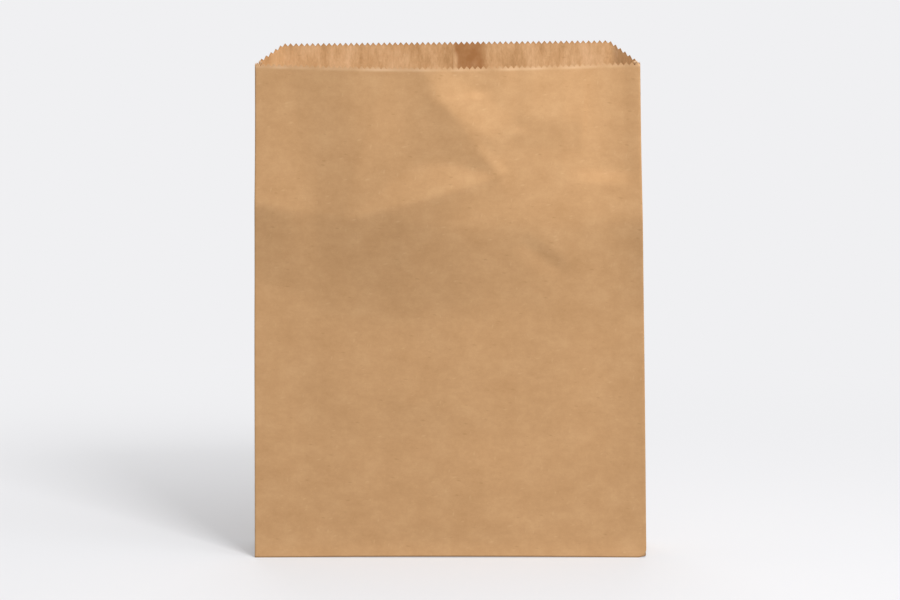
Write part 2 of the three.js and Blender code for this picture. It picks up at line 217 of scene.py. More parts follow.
# the gusset's middle fold is a parabola through its tuck at the foot, half way up and at the mouth
tuck = TUCK_FOOT * (1 - share) * (1 - 2 * share) + TUCK_MIDDLE * 4 * share * (1 - share)
tuck += TUCK_MOUTH * share * (2 * share - 1)
gusset_turn = np.arcsin(tuck / HALF_GUSSET)
folded = np.minimum(height, HALF_GUSSET)
half_depth = HALF_GUSSET - folded * (1 - np.cos(gusset_turn))
swell = FRONT_SWELL * smooth((height - SWELL_START) / (SWELL_END - SWELL_START))
left_pull, right_pull = LEFT_PULL * share, RIGHT_PULL * share
sag = BACK_SAG * share
bend = np.sqrt(BACK_BEND**2 - sag**2)
front_half = HALF_PANEL - swell**2 / PANEL
back_half = HALF_PANEL - BACK_BEND + bend
print("width of the mouth between its front creases:", round(2 * front_half.min(), 1), "mm")

# %% [markdown]
# ## The level crease
# Bags come folded in a pack, and the fold stays as a soft level crease across the front, where the panel
# is fullest. Below it the paper leans forward and is a little darker, above it the paper leans back into
# the light. The crease wanders up and down by a few millimetres and is sharpest on the left. The places of
# the line are in millimetres, the other places across the panel go from -1 to 1.

# %% Crease line
def ripple(size, seed):
    """Soft noise along the sheet, about -1 to 1, with hills of a size in millimetres."""
    return np.array([noise.noise((place / size, seed, 0.0)) for place in along])


LINE_PLACES = [-152, -116, -84, -69, -49, -41, 2, 88, 152]
LINE_HEIGHTS = [277, 271, 268, 270, 272, 265, 259, 262, 266]
LINE_WANDER, WANDER_MM = 1.5, 22
ROUNDING_PLACES, ROUNDINGS = [-1, 0.6, 1], [2.0, 8.0, 5.0]

crease_line = np.interp(along, LINE_PLACES, LINE_HEIGHTS) + LINE_WANDER * ripple(WANDER_MM, 1.5)
rounding = np.interp(across, ROUNDING_PLACES, ROUNDINGS)
off_line = np.hypot(height - crease_line, rounding) - rounding
print("crease line from", crease_line.min().round(1), "to", crease_line.max().round(1), "mm")

# %% [markdown]
# ## The belly at the crease
# The crease itself is only a line. What we see is the belly on both sides of it: the panel stands out
# most at the line, more so on the left, and falls back over two flanks. The upper flank ends at the lip,
# the lower one runs out along an uneven line about a hand's width below. A power a little over 1 lets a
# flank run out softly.

# %% Belly
BELLY = 4.3
BELLY_PLACES, BELLY_SHARES = [-1, -0.68, -0.4, 0.2, 1], [2.5, 0.9, 0.62, 0.85, 1.4]
BELLY_POWER = 1.3
FLANK = 70.0
FLANK_PLACES, FLANK_SHARES = [-1, -0.6, 0.3, 0.7], [0.75, 1.0, 1.0, 1.2]
FLANK_UNEVEN, UNEVEN_MM = 0.35, 48

uneven = 1 + FLANK_UNEVEN * ripple(UNEVEN_MM, 6.5)
low_flank = FLANK * np.interp(across, FLANK_PLACES, FLANK_SHARES) * uneven
flank = np.where(height < crease_line, low_flank, FRONT_HEIGHT - crease_line)
fullness = BELLY * np.interp(across, BELLY_PLACES, BELLY_SHARES)
belly = fullness * np.clip(1 - off_line / flank, 0, 1) ** BELLY_POWER
print("belly up to", belly[is_front].max().round(1), "mm")

# %% [markdown]
# ## The opened front
# Now each point of the folded tube gets its place on the opened bag. The front is a low tent: two sides
# that meet in a rounded ridge up the middle, and the right one is a little hollow. The belly changes close
# to the side folds, the right side fold is pushed forward, and the last finger's width above the base
# curves out to the base fold.

# %% Front panel
RIDGE_ROUND = 0.3
RIGHT_HOLLOW = 1.5
EDGE_BELLY = (0.75, 1.5)
EDGE_POWER = 4  # the belly keeps its own form except close to the side folds
FLARE, FLARE_START, FLARE_HEIGHT = 3.4, 0.74, 120.0
FOOT, FOOT_REACH = 1.3, 15.0

fall = np.hypot(across, RIDGE_ROUND) - RIDGE_ROUND
arch = 1 - fall / (math.hypot(1, RIDGE_ROUND) - RIDGE_ROUND)
arch = np.where(across > 0, arch**RIGHT_HOLLOW, arch)
to_right = np.clip((across - FLARE_START) / (1 - FLARE_START), 0, 1)
flare = FLARE * to_right**2 * smooth(height / FLARE_HEIGHT)
edge_share = np.interp(across, [-1, 1], EDGE_BELLY)
bulge = belly * (1 - (1 - edge_share) * across**EDGE_POWER) + flare
foot = FOOT * np.clip(1 - height / FOOT_REACH, 0, 1) ** 2
front_x = across * front_half - right_pull * (1 + across) / 2 + left_pull * (1 - across) / 2
front_y = -half_depth - swell * arch - bulge - foot
print("front stands out by up to", (-front_y[is_front]).max().round(1), "mm")

# %% [markdown]
# ## The gussets
# A gusset is a shallow V with a flat triangle at its foot, which is what a block bottom leaves of it. Each
# half of the V turns about its own crease by the same angle. The half beside the front takes part in the
# bulge of the front, so that the fold between them stays closed.

# %% Gussets
from_front = tube[:, 1]
from_crease = np.minimum(from_front, GUSSET - from_front)
turned = np.minimum(from_crease, folded)
inward = turned * np.cos(gusset_turn) + from_crease - turned
front_edge = front_half - np.where(side > 0, right_pull, left_pull)
back_edge = back_half - side * BACK_SHIFT * share
half_width = front_edge + (back_edge - front_edge) * from_front / GUSSET
gusset_x = side * (half_width - turned * np.sin(gusset_turn))
gusset_y = np.where(from_front < HALF_GUSSET, inward - half_depth, half_depth - inward)
gusset_y -= (bulge + foot) * np.clip(1 - from_front / HALF_GUSSET, 0, 1)
print("gussets go in by up to", tuck.max().round(1), "mm")

# %% [markdown]
# ## The back panel
# The back panel is flat between two slanted strips. With it, the three kinds of panel are put together and
# the whole bag leans back.

# %% Back panel
from_side = HALF_PANEL - np.abs(tube[:, 0])
bent = np.minimum(from_side / BACK_BEND, 1)
back_x = side * (back_half - bent * bend - np.maximum(from_side - BACK_BEND, 0)) - BACK_SHIFT * share
back_y = half_depth + sag * bent

x = np.select([is_front, is_gusset], [front_x, gusset_x], back_x)
y = np.select([is_front, is_gusset], [front_y, gusset_y], back_y) + LEAN * share + BASE_MIDDLE
print("opened bag:", x.min().round(1), x.max().round(1), y.min().round(1), y.max().round(1))

# %% [markdown]
# ## Creases from handling
# Paper remembers every fold. A crease is a line from one point to another that stands out or goes in by
# a few millimetres at most, with a flank on each side that runs back into the panel. The two flanks have
# different widths, because a thumb presses from one side. A crease could be sculpted by hand, but as a
# function of a few numbers it can be moved and tried again.

# %% One crease
START_FADE, END_FADE = 0.25, 0.1
CREASE_POWER = 1.1


def crease(start, end, rise, left, right, rounded, fades=(START_FADE, END_FADE)):
    """Relief of one crease at all points of the sheet."""
    run = np.subtract(end, start)
    length = np.hypot(*run)
    ahead = run / length
    gone = ((along - start[0]) * ahead[0] + (height - start[1]) * ahead[1]) / length
    off = (height - start[1]) * ahead[0] - (along - start[0]) * ahead[1]
    down = (np.hypot(off, rounded) - rounded) / np.where(off > 0, left, right)
    ends = smooth(gone / fades[0]) * smooth((1 - gone) / fades[1])
    return rise * ends * np.clip(1 - down, 0, 1) ** CREASE_POWER


print("a crease comes and goes over", START_FADE, "and", END_FADE, "of its length")

# %% [markdown]
# ## The creases of the front
# Each row gives the start and the end of a crease, its rise, its flanks to the left and right of someone
# walking from start to end, and how far the ridge is rounded off. A few rows also give the shares of the
# length over which the crease comes and goes. A crease that starts above the lip runs out through it.

# %% Creases
SHARP, ROUND, SOFT = 1.0, 3.0, 8.0
FRONT_CREASES = [
    # along the lower edge of the dent, and at its tip
    ((-62, 267), (52, 301), 0.9, 22, 18, SHARP, (0.35, 0.12)),
    ((20, 322), (43, 297), 0.8, 7, 14, SHARP),
    # down from the lip and away to the right
    ((-26, 368), (46, 318), 3.6, 24, 150, SHARP, (0.25, 0.3)),
    ((22, 410), (26, 358), -1.2, 12, 34, ROUND),
    ((55, 410), (55, 330), -1.0, 12, 9, SHARP),
    ((44, 345), (112, 340), 2.0, 40, 22, ROUND),
    # tall and soft, on the left and on the right
    ((-52, 150), (-78, 405), 3.0, 40, 90, SOFT, (0.6, 0.1)),
    ((126, 430), (122, 290), -2.6, 30, 26, SOFT),
    # broad and level, on the lower half
    ((-130, 192), (90, 188), -0.9, 66, 29, SOFT, (0.3, 0.3)),
    ((-120, 124), (60, 120), 2.5, 58, 118, SOFT, (0.3, 0.35)),
    # small marks below the level crease
    ((51, 251), (88, 223), -0.6, 9, 10, SHARP),
    ((65, 257), (101, 229), 0.45, 17, 8, ROUND),
    ((-43, 270), (-43, 222), -0.2, 5, 5, SHARP),
]
crease_relief = sum(crease(*values) for values in FRONT_CREASES)
print("creases:", len(FRONT_CREASES), "up to", crease_relief[is_front].max().round(2), "mm")

# %% [markdown]
# ## The dent
# A hand has pushed in the upper front. Such a dent in paper has flat banks that meet in valleys, like a
# shallow hopper. Each bank is a slope that starts at one edge of the dent, so the dent is as deep as its
# shallowest bank at that place. A plain minimum would leave valleys like knife cuts, so we take a soft
# one, which rounds them off.

# %% Dent
DENT_BANKS = [  # start and end of an edge, walking round the dent, and millimetres down per millimetre
    ((-104, 257), (42, 298.5), 0.165),
    ((42, 296), (24, 320), 0.14),
    ((52, 346), (10, 384), 0.056),
    ((0, 386), (-80, 386), 0.06),
    ((-50, 372), (-86, 256), 0.11),
]
DENT_SOFT = 0.3


def bank(start, end, steep):
    """How deep one bank lies, inside its edge and on beyond the dent."""
    run = np.subtract(end, start)
    within = (height - start[1]) * run[0] - (along - start[0]) * run[1]
    return steep * within / np.hypot(*run)


shallowest = -DENT_SOFT * np.log(sum(np.exp(-bank(*values) / DENT_SOFT) for values in DENT_BANKS))
dent = np.maximum(shallowest, 0.0)
front_relief = crease_relief - dent
print("dent:", dent[is_front].max().round(2), "mm deep")

# %% [markdown]
# ## Soft waves
# Between the creases the paper isn't flat. Broad waves come from the damp and the roll, and shallow facets
# from hands. Both are noise on the sheet, and both die out at the maker's folds, which stay straight. They
# are calmer on the upper front, where the creases have pulled the paper tight. On the back the noise reads
# the place across the bag, so that both layers of the lap move together.

# %% Waves
spot = np.where(is_back, 2 * PANEL + tube[:, 0], along)


def waves(size, seed):
    """Soft noise, about -1 to 1, with hills of a size in millimetres."""
    return np.array([noise.noise((a / size, h / size, seed)) for a, h in zip(spot, height)])


def facets(size, seed):
    """Shallow cones that meet along straight valleys, as in paper that was once crumpled."""
    return np.array([noise.voronoi((a / size, h / size, seed))[0][0] for a, h in zip(spot, height)])


BROAD, BROAD_MM = 0.6, 80
FINE, FINE_MM = 0.22, 26
FACET, FACET_MM = 0.45, 38
FACET_LEVEL = 0.2  # the facets only stand out, so all are set back by about their mean
CALM, CALM_START, CALM_END = 0.3, 180, 230

undulation = BROAD * waves(BROAD_MM, 3.0) + FINE * waves(FINE_MM, 7.0)
undulation = undulation + FACET * facets(FACET_MM, 5.0) - FACET_LEVEL
undulation *= np.where(is_front, np.interp(height, [CALM_START, CALM_END], [1.0, CALM]), 1.0)
print("waves from", undulation.min().round(2), "to", undulation.max().round(2), "mm")

# %% [markdown]
# ## Relief on the panels
# Creases, dent and waves are added to the opened bag, each panel along its own outward direction. Near a
# maker's fold and near the base the relief fades to nothing.

# %% Relief
FOLD_REACH = 14.0
BASE_REACH = 30.0

to_fold = np.minimum(np.abs(off_centre - HALF_PANEL), np.abs(off_centre - BACK_CREASE))
free = smooth(to_fold / FOLD_REACH) * smooth(height / BASE_REACH)
relief = free * (undulation + np.where(is_front, front_relief, 0.0))
y += np.select([is_front, is_back], [-relief, relief], 0.0)
x += np.where(is_gusset, side * relief, 0.0)
print("relief on the whole sheet:", relief.min().round(2), "to", relief.max().round(2), "mm")

# %% [markdown]
# ## The base fold
# The base isn't a straight edge on the floor. The paper turns under in a small bend, so the lowest row is
# set in a little. The middle of the front hangs free of the floor by less than a millimetre, which gives a
# thin dark line there. The front right corner has been pressed in and up.

# %% Base fold
FOLD_INSET = 0.6
BASE_LIFT, LIFT_REACH = 0.7, 60.0
CORNER_PUSH, CORNER_LIFT, CORNER_REACH = 1.5, 1.2, 6.0

inset = np.where(row == 0, FOLD_INSET, 0.0)
y += np.select([is_front, is_back], [inset, -inset], 0.0)
x -= np.where(is_gusset, side * inset, 0.0)
pressed = np.clip(1 - np.hypot(along - HALF_PANEL, height) / CORNER_REACH, 0, 1)
x -= CORNER_PUSH * pressed
lift = BASE_LIFT * (1 - across**2) * np.clip(1 - height / LIFT_REACH, 0, 1)
lift += CORNER_LIFT * pressed
print("base lifted by up to", lift.max().round(2), "mm")

# %% [markdown]
# ## The lapped seam
# Where the two ends lap, the inner end lies one sheet inside the outer one. Beyond the lap it eases back
# into line, as paper does over a step. After that the points of the sheet have their places.

# %% Seam
LAYER = 0.3
SEAM_EASE = 20.0

inner_end = is_back & (along > 0)
past_lap = (tube[:, 0] - SEAM_EDGE - SEAM_LAP) / SEAM_EASE
y -= np.where(inner_end, LAYER * (1 - smooth(past_lap)), 0.0)
for vertex, place in zip(sheet.verts, np.stack([x, y, height + lift + PAPER / 2], 1)):
    vertex.co = place
print("points in the lap:", int((inner_end & (past_lap < 0)).sum()))

# %% [markdown]
# ## The folded bottom
# Each panel runs on below the base and is folded in as a flap: the end flaps first, then the back one and
# the front one over them, and all are glued. `extrude_edge_only` pulls a flap out of the bottom edge of
# its panel, once for the fold and once for the flap itself. Extruding keeps the flap joined to its panel,
# as in the real sheet.

# %% Helpers for the bottom
FLAP_LAP = 10.0
FLAP_REACH = HALF_GUSSET + FLAP_LAP
FOLD_STEP = 0.3


def base_edges(low, high):
    """The edges of the sheet's lower end between two places along it."""
    ends = [(edge, [vertex.index for vertex in edge.verts]) for edge in sheet.edges if edge.is_boundary]
    return [
        edge for edge, pair in ends
        if all(row[i] == 0 and low - NEAR < along[i] < high + NEAR for i in pair)
    ]


def pull_out(edges, move):
    """Extrude edges by a move, and give the new edges and points."""
    new = bmesh.ops.extrude_edge_only(sheet, edges=edges)["geom"]
    points = [part for part in new if isinstance(part, bmesh.types.BMVert)]
    bmesh.ops.translate(sheet, verts=points, vec=move)
    made = [part for part in new if isinstance(part, bmesh.types.BMEdge)]
    return [edge for edge in made if all(vertex in points for vertex in edge.verts)], points


def flap(edges, inward_way, level):
    """Fold a flap in from the base, on its own level of the stack, and give its free points."""
    direction = Vector(inward_way)
    folded_edges, _ = pull_out(edges, direction * FOLD_STEP + Vector((0, 0, level * LAYER)))
    return pull_out(folded_edges, direction * (FLAP_REACH - FOLD_STEP))[1]


print("flaps reach", FLAP_REACH, "mm in")

# %% [markdown]
# ## The five flaps
# The front flap lies lowest, on the outside of the stack, then the two ends of the back panel, then the
# end flaps. The free edge of the front flap was cut by the same toothed knife as the mouth.

# %% Flaps
FLAP_WAYS = [(0, -1, 0), (1, 0, 0), (0, 1, 0), (-1, 0, 0), (0, -1, 0)]
FLAP_LEVELS = [1, 3, 0, 3, 2]

sheet.verts.index_update()
WALL_POINTS = len(sheet.verts)
panel_edges = [base_edges(low, high) for low, high in zip(MARKS, MARKS[1:])]
free_points = [flap(*values) for values in zip(panel_edges, FLAP_WAYS, FLAP_LEVELS)]
for vertex in free_points[FRONT]:
    vertex.co.z = PAPER / 2
    if round((vertex.co.x / PANEL + 0.5) * 2 * teeth[FRONT]) % 2:
        vertex.co.y -= TOOTH_DEPTH
print("points in the flaps:", len(sheet.verts) - WALL_POINTS)

# %% [markdown]
# ## Corners of the long flaps
# On a block bottom the corners of the long flaps are folded under at 45 degrees and can't be seen any
# more. `bisect_plane` with `clear_outer` takes such a corner off along a slanted plane.

# %% Corners of the long flaps
CUT_NEAR = 1e-4  # points this close to a plane count as lying on it

sheet.verts.index_update()
for slant_x in (1, -1):
    for slant_y in (1, -1):
        corner = Vector((slant_x * HALF_PANEL, slant_y * HALF_GUSSET + BASE_MIDDLE, 0))
        long_flap = free_points[FRONT] if slant_y < 0 else free_points[LEFT_BACK] + free_points[RIGHT_BACK]
        faces = {face for vertex in long_flap if vertex.is_valid for face in vertex.link_faces}
        parts = {part for face in faces for part in [face, *face.edges, *face.verts]}
        bmesh.ops.bisect_plane(sheet, geom=list(parts), dist=CUT_NEAR, plane_co=corner,
                               plane_no=(slant_x, -slant_y, 0), clear_outer=True)
print("faces of the sheet:", len(sheet.faces))

# %% [markdown]
# ## The painted shade of the lap
# Where the two ends lap, less light comes through the double sheet and its edge throws a shadow. That
# shade is painted into the colour of the inner layer. It starts along a slanted line beside the edge of
# the lap and thins out on the other side. We keep it as one number per point, from 0 for none to 1 for
# full painted shade.

# %% Painted shade of the lap
LAP_SHADE_SLANT = 1 / 6
LAP_SHADE_START, LAP_SHADE_FADE = 1.5, 7.0
LAP_SHADE_EARLY = 0.7  # share of the fade that still lies within the lap

into_lap = tube[:, 0] - SEAM_EDGE - LAP_SHADE_SLANT * np.minimum(lip - height, SEAM_LAP)
thinned = smooth(past_lap * SEAM_EASE / LAP_SHADE_FADE + LAP_SHADE_EARLY)
# painted shade of the lap, from 0 for none to 1 for full
lap_shade_share = np.where(inner_end, smooth(into_lap / LAP_SHADE_START) * (1 - thinned), 0)
print("points with glue:", int((lap_shade_share > 0.5).sum()))

# %% [markdown]
# ## Cut edges and painted edge light
# The teeth of the back panel and the gussets get the tone of a cut edge: on the outer side it is paler
# than the paper, on the inner side darker, which is painted shade at the tips. On the front the tips
# hardly have it, but a narrow and uneven band below the teeth is a painted highlight along the lip. The
# long edge of the lap on the back shows as a thin pale line down the panel, painted light of that edge.
# One number per point says how much.

# %% Cut and painted edge light
TIP_SHARE, LIP_HIGHLIGHT_SHARE = 0.1, 0.5
LIP_HIGHLIGHT_UNEVEN, LIP_HIGHLIGHT_MM = 0.5, 12
SEAM_LINE_LIGHT = 0.6

# the pale band below the front teeth is a painted highlight along the lip
lip_highlight = LIP_HIGHLIGHT_SHARE + LIP_HIGHLIGHT_UNEVEN * ripple(LIP_HIGHLIGHT_MM, 4.5)
front_cut_and_highlight = np.select([row < ROWS - 1, is_tip], [0.0, TIP_SHARE], lip_highlight)
cut_and_edge_light_share = np.where(is_front, front_cut_and_highlight, np.where(is_tip, 1.0, 0.0))
# the pale line along the lap's edge is painted light of that edge
cut_and_edge_light_share = np.where(column == 0, SEAM_LINE_LIGHT, cut_and_edge_light_share)
print("points at a cut:", int((cut_and_edge_light_share > 0).sum()))

# %% [markdown]
# ## The sheet's own map
# The fibres of the paper run with the sheet, over folds and round corners, so the material must read
# places on the sheet and not in the room. A UV map keeps those places, in metres. The painted shade of
# the lap and the cut with its painted edge light go with it as attributes of the points.

# %% Map
uv = sheet.loops.layers.uv.new("sheet")
cut_and_edge_light_layer = sheet.verts.layers.float.new("cut_and_edge_light")
lap_shade_layer = sheet.verts.layers.float.new("lap_shade")
sheet.verts.index_update()
for vertex in sheet.verts:
    if vertex.index < WALL_POINTS:
        vertex[cut_and_edge_light_layer] = cut_and_edge_light_share[vertex.index]
        vertex[lap_shade_layer] = lap_shade_share[vertex.index]
for face in sheet.faces:
    on_wall = all(vertex.index < WALL_POINTS for vertex in face.verts)
    for loop in face.loops:
        i = loop.vert.index
        place = (along[i], height[i]) if on_wall else (loop.vert.co.x, loop.vert.co.y - PANEL)
        loop[uv].uv = (place[0] / MM_PER_METRE, place[1] / MM_PER_METRE)
print("map:", uv.name, "attributes:", cut_and_edge_light_layer.name, lap_shade_layer.name)

# %% [markdown]
# ## Folds
# Paper never folds to a knife edge: the outer side goes round the fold in a tight bend that catches a thin
# line of light. So the maker's upright folds get a bevel weight, and a Bevel modifier will round those
# edges only. The middle fold of a gusset, the base fold and the cut edges stay sharp. Then the mesh goes
# from millimetres to metres.

# %% Folds
def on_fold(edge, fold_places):
    """True for an upright edge on one of the maker's folds."""
    i, k = (vertex.index for vertex in edge.verts)
    if max(i, k) >= WALL_POINTS or column[i] != column[k]:
        return False
    return min(abs(off_centre[i] - fold_place) for fold_place in fold_places) < NEAR


bevel_weight = sheet.edges.layers.float.new("bevel_weight_edge")
for edge in sheet.edges:
    on_base = all(vertex.co.z < 2 * FOLD_HEIGHT for vertex in edge.verts)
    edge.smooth = not (edge.is_boundary or on_base or on_fold(edge, [HALF_PANEL + HALF_GUSSET]))
    edge[bevel_weight] = float(on_fold(edge, [HALF_PANEL, BACK_CREASE]))
for face in sheet.faces:
    face.smooth = True
bmesh.ops.recalc_face_normals(sheet, faces=sheet.faces[:])
bmesh.ops.scale(sheet, vec=[1 / MM_PER_METRE] * 3, verts=sheet.verts[:])
print("rounded edges:", sum(edge[bevel_weight] > 0 for edge in sheet.edges))

# %% [markdown]
# ## The finished sheet
# The mesh becomes an object, and two modifiers finish it: the Bevel for the folds, and a Solidify that
# gives the paper its thickness. Solidify comes last, so that both sides follow every fold. It gives the
# inner side a second material, because the two sides of kraft paper don't look the same.

# %% Finished sheet
FOLD_ROUND = 0.9

bag_mesh = bpy.data.meshes.new("folded_sheet")
sheet.to_mesh(bag_mesh)
sheet.free()
bag = bpy.data.objects.new("folded_sheet", bag_mesh)
bpy.context.scene.collection.objects.link(bag)
rounded_folds = bag.modifiers.new("rounded folds", "BEVEL")
rounded_folds.limit_method = "WEIGHT"
rounded_folds.width = FOLD_ROUND / MM_PER_METRE
rounded_folds.segments = 3
rounded_folds.use_clamp_overlap = False
thickness = bag.modifiers.new("paper thickness", "SOLIDIFY")
thickness.thickness = PAPER / MM_PER_METRE
thickness.offset = 0.0
thickness.material_offset = 1
print("faces:", len(bag_mesh.polygons), "first normal:", bag_mesh.polygons[0].normal)

# %% [markdown]
# ## Helpers for the materials
# Every finish is a small network of nodes. Two helpers keep the code short: one turns a hex colour into
# the linear values that the nodes want, one adds a node with its settings and its links. A third turns a
# size in millimetres into the scale of a noise on a map in metres.

# %% Helpers for materials
def linear(hex_colour):
    """An sRGB hex colour as linear red, green, blue and alpha."""
    channels = [int(hex_colour[i : i + 2], 16) / 255 for i in (1, 3, 5)]
    return [c / 12.92 if c <= 0.04045 else ((c + 0.055) / 1.055) ** 2.4 for c in channels] + [1.0]


def add_node(tree, kind, settings, links):
    """A node with its settings, on inputs or on the node itself, and its links from other sockets."""
    node = tree.nodes.new(kind)
    for name, value in settings.items():
        if isinstance(name, int) or name in node.inputs:
            node.inputs[name].default_value = value
        else:
            setattr(node, name, value)
    for name, socket in links.items():
        tree.links.new(socket, node.inputs[name])
    return node


def per_metre(size_mm):
    """Scale of a noise whose hills have a size in millimetres, on a map in metres."""
    return MM_PER_METRE / size_mm


print("kraft brown in linear values:", [round(c, 3) for c in linear("#C4986A")])

# %% [markdown]
# ## Flecks
# Kraft paper is full of loose flecks: short bundles of pale fibre and bits of dark bark. A Voronoi texture
# cuts the sheet into patches and gives each patch one fleck at its own place. A random number per patch,
# raised to a power, makes most of them too small to see. Single flecks as meshes would be far too many.

# %% Flecks
FLECK_MM = 6.0
FLECK_LENGTH = 2.8
FLECK_REACH = 0.15
FLECK_RARITY = 3.0
FLECK_EDGE, FLECK_STRENGTH = 0.12, 0.4


def flecks(tree, place, angle, colour, under):
    """Flecks of one colour, at an angle in degrees to the level, over the colour that lies under them."""
    laid = add_node(tree, "ShaderNodeMapping", {
        "vector_type": "TEXTURE", "Rotation": (0, 0, math.radians(angle)), "Scale": (FLECK_LENGTH, 1, 1),
    }, {"Vector": place})
    patches = add_node(tree, "ShaderNodeTexVoronoi", {
        "voronoi_dimensions": "2D", "Scale": per_metre(FLECK_MM),
    }, {"Vector": laid.outputs["Vector"]})
    draw = add_node(tree, "ShaderNodeSeparateColor", {}, {"Color": patches.outputs["Color"]})
    few = add_node(tree, "ShaderNodeMath", {"operation": "POWER", 1: FLECK_RARITY},
                   {0: draw.outputs["Red"]})
    reach = add_node(tree, "ShaderNodeMath", {"operation": "MULTIPLY", 1: FLECK_REACH},
                     {0: few.outputs["Value"]})
    depth_inside = add_node(tree, "ShaderNodeMath", {"operation": "SUBTRACT"},
                            {0: reach.outputs["Value"], 1: patches.outputs["Distance"]})
    amount = add_node(tree, "ShaderNodeMapRange", {"From Max": FLECK_EDGE, "To Max": FLECK_STRENGTH},
                      {"Value": depth_inside.outputs["Value"]})
    return add_node(tree, "ShaderNodeMixRGB", {"Color2": linear(colour)},
                    {"Fac": amount.outputs["Result"], "Color1": under})


print("one patch for a fleck:", round(FLECK_MM * FLECK_LENGTH, 1), "by", FLECK_MM, "mm")

# %% [markdown]
# ## Kraft paper
# Kraft paper is unbleached wood pulp, rolled but not coated. To the eye it is matt, with hardly any sheen.
# It is a felt of fibres that is uneven at every size, from clouds as wide as a thumb down to single
# fibres. One noise with many octaves gives that, because each octave adds hills of half the size. A ramp
# turns it into three browns, the flecks lie on top, and the cut edges with their painted edge light and
# shade are mixed in last. A faint bump stands for the nap of the fibres.

# %% Kraft paper
FELT_MM = 20.0
FIBRE_MM = 1.2  # real fibres are much finer, these are drawn as coarse as the picture can show
NAP_HEIGHT_MM = 0.1


def kraft_paper(name, grain, browns, cut_light_and_shade_colour):
    """Kraft paper with its grain stretched along and up the sheet, and three browns from dark to light."""
    material = bpy.data.materials.new(name)
    material.use_nodes = True
    tree = material.node_tree
    shader = tree.nodes["Principled BSDF"]
    shader.inputs["Roughness"].default_value = 0.82
    shader.inputs["Specular IOR Level"].default_value = 0.35
    place = add_node(tree, "ShaderNodeUVMap", {"uv_map": "sheet"}, {}).outputs["UV"]
    grained = add_node(tree, "ShaderNodeMapping", {"Scale": grain}, {"Vector": place}).outputs["Vector"]
    felt = add_node(tree, "ShaderNodeTexNoise", {
        "noise_dimensions": "2D", "Scale": per_metre(FELT_MM), "Detail": 5.0, "Roughness": 0.84,
    }, {"Vector": grained})
    tone = add_node(tree, "ShaderNodeMapRange", {"From Min": 0.2, "From Max": 0.8},
                    {"Value": felt.outputs["Fac"]})
    ramp = add_node(tree, "ShaderNodeValToRGB", {}, {"Fac": tone.outputs["Result"]})
    stops = ramp.color_ramp.elements
    stops.new(0.5)
    for stop, brown in zip(stops, browns):
        stop.color = linear(brown)
    pale = flecks(tree, place, 12, "#D6AF84", ramp.outputs["Color"])
    bark = flecks(tree, place, -7, "#A67C4C", pale.outputs["Color"])
    bundles = flecks(tree, place, 78, "#D2AB80", bark.outputs["Color"])
    cut_and_edge_light = add_node(tree, "ShaderNodeAttribute", {"attribute_name": "cut_and_edge_light"}, {})
    edged = add_node(tree, "ShaderNodeMixRGB", {"Color2": linear(cut_light_and_shade_colour)},
                     {"Fac": cut_and_edge_light.outputs["Fac"], "Color1": bundles.outputs["Color"]})
    tree.links.new(edged.outputs["Color"], shader.inputs["Base Color"])
    fibres = add_node(tree, "ShaderNodeTexNoise", {
        "noise_dimensions": "2D", "Scale": per_metre(FIBRE_MM), "Detail": 1.0,
    }, {"Vector": grained})
    nap = add_node(tree, "ShaderNodeBump", {"Strength": 0.15, "Distance": NAP_HEIGHT_MM / MM_PER_METRE},
                   {"Height": fibres.outputs["Fac"]})
    tree.links.new(nap.outputs["Normal"], shader.inputs["Normal"])
    return material, edged


print("clouds of", FELT_MM, "mm and a nap of", FIBRE_MM, "mm")

# %% [markdown]
# ## The outer side
# The outer side is the smooth one: three browns that lie close together, with the clouds drawn out a little
# along the sheet. Its cut tone is much paler: a pale cut edge at the tips, a painted highlight along the
# front lip and a painted light line at the lap.

# %% Outer side
OUTER_GRAIN = (0.75, 1.0, 1.0)
OUTER_BROWNS = ("#BB8F61", "#C4986A", "#CDA274")
outer_side, _ = kraft_paper("kraft paper, outer side", OUTER_GRAIN, OUTER_BROWNS, "#DDB68E")
bag_mesh.materials.append(outer_side)
print("outer side:", outer_side.name, "nodes:", len(outer_side.node_tree.nodes))

# %% [markdown]
# ## The inner side and the painted shade of the lap
# The inner side is the side that lay on the felt of the paper machine: its tone runs in upright streaks,
# since the web ran that way, and it is more uneven. The streaks are also painted shade of the wavy back
# lip. Where the sheet lies double at the lap, the inner layer is painted darker in blotches: painted
# shade, as less light comes through two layers. The number of each point says where, and a noise makes
# it blotchy.

# %% Inner side
LAP_SHADE_MM = 9.0
LAP_SHADE_BROWN = "#9E6C3E"
# the strong upright streaks are partly the paper's tone, partly painted shade of the wavy back lip
INNER_STREAK_STRETCH = (1.0, 0.35, 1.0)
INNER_BROWNS_AND_SHADE = ("#A4784A", "#C5996B", "#DFB58B")

# on the inner side the cut tone is dark: painted shade at the tips of the teeth
inner_side, unshaded_tone = kraft_paper("kraft paper, inner side", INNER_STREAK_STRETCH, INNER_BROWNS_AND_SHADE, "#A9794C")
lap_shade_tree = inner_side.node_tree
lap_shade_place = add_node(lap_shade_tree, "ShaderNodeUVMap", {"uv_map": "sheet"}, {}).outputs["UV"]
blotches = add_node(lap_shade_tree, "ShaderNodeTexNoise", {
    "noise_dimensions": "2D", "Scale": per_metre(LAP_SHADE_MM), "Detail": 3.0,
}, {"Vector": lap_shade_place})
shade_pattern = add_node(lap_shade_tree, "ShaderNodeMapRange", {"From Min": 0.3, "From Max": 0.65, "To Min": 0.7},
                {"Value": blotches.outputs["Fac"]})
lap_shade = add_node(lap_shade_tree, "ShaderNodeAttribute", {"attribute_name": "lap_shade"}, {})
lap_shade_amount = add_node(lap_shade_tree, "ShaderNodeMath", {"operation": "MULTIPLY"},
                  {0: shade_pattern.outputs["Result"], 1: lap_shade.outputs["Fac"]})
